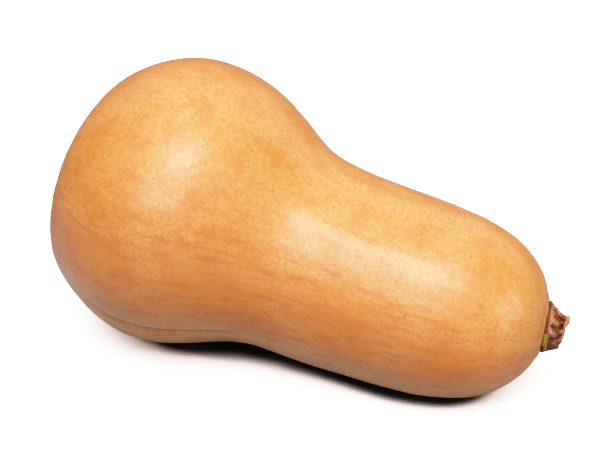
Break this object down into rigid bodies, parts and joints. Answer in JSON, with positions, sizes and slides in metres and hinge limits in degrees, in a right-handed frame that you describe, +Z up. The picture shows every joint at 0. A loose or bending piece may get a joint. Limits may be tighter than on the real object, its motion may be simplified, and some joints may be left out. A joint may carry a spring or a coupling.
{
  "type": "butternut squash",
  "caption": "Whole butternut squash lying on its side: round bulb, thick tapering neck and a dry ridged stem stub at the neck end.",
  "frame": {"origin": "on the floor, under the middle of the squash's box", "axes": "+X along the squash towards its stem, +Z up from the floor it lies on"},
  "size_m": [0.234, 0.132, 0.1301],
  "materials": {
    "skin": "smooth waxy orange-tan rind with a satin gloss",
    "woody_stalk": "dry ridged brown stalk"
  },
  "bodies": {
    "root": {"fruit": "skin", "stem": "woody_stalk"}
  },
  "joints": []
}
